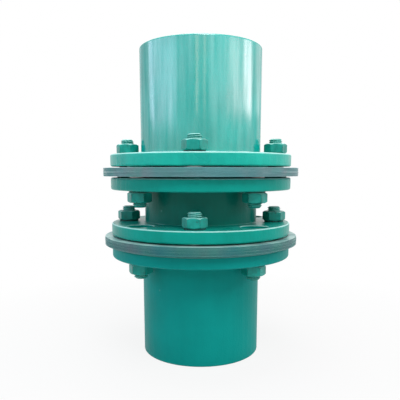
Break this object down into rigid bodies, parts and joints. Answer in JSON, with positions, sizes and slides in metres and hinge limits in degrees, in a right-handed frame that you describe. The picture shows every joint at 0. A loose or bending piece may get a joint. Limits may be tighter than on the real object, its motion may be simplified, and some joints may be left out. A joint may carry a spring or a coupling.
{
  "type": "disc coupling",
  "caption": "Flexible shaft coupling: two keyed hubs joined by laminated steel disc packs and a short flanged spacer.",
  "frame": {"origin": "centre of the lower hub's free end face, which the coupling stands on", "axes": "+Z along the shaft axis, from the lower hub to the upper hub; -Y is the front, at one bolt of the upper hub"},
  "size_m": [0.292, 0.292, 0.452],
  "materials": {
    "hub_enamel": "glossy teal machine enamel, with runs and pinholes",
    "spacer_enamel": "glossy teal machine enamel",
    "fastener_enamel": "teal enamel brushed over steel fasteners",
    "leaf_steel": "rolled steel leaves, with a light mist of paint",
    "washer_steel": "plain turned steel"
  },
  "bodies": {
    "root": {"lower_hub": "hub_enamel", "upper_hub": "hub_enamel", "spacer": "spacer_enamel", "lower_disc_pack": "leaf_steel", "upper_disc_pack": "leaf_steel", "upper_hub_bolts": "fastener_enamel", "upper_hub_nuts": "fastener_enamel", "upper_hub_lock_washers": "fastener_enamel", "upper_hub_pack_washers": "washer_steel", "upper_spacer_bolts": "fastener_enamel", "upper_spacer_nuts": "fastener_enamel", "upper_spacer_lock_washers": "fastener_enamel", "upper_spacer_pack_washers": "washer_steel", "lower_spacer_bolts": "fastener_enamel", "lower_spacer_nuts": "fastener_enamel", "lower_spacer_lock_washers": "fastener_enamel", "lower_spacer_pack_washers": "washer_steel", "lower_hub_bolts": "fastener_enamel", "lower_hub_nuts": "fastener_enamel", "lower_hub_lock_washers": "fastener_enamel", "lower_hub_pack_washers": "washer_steel"}
  },
  "joints": []
}
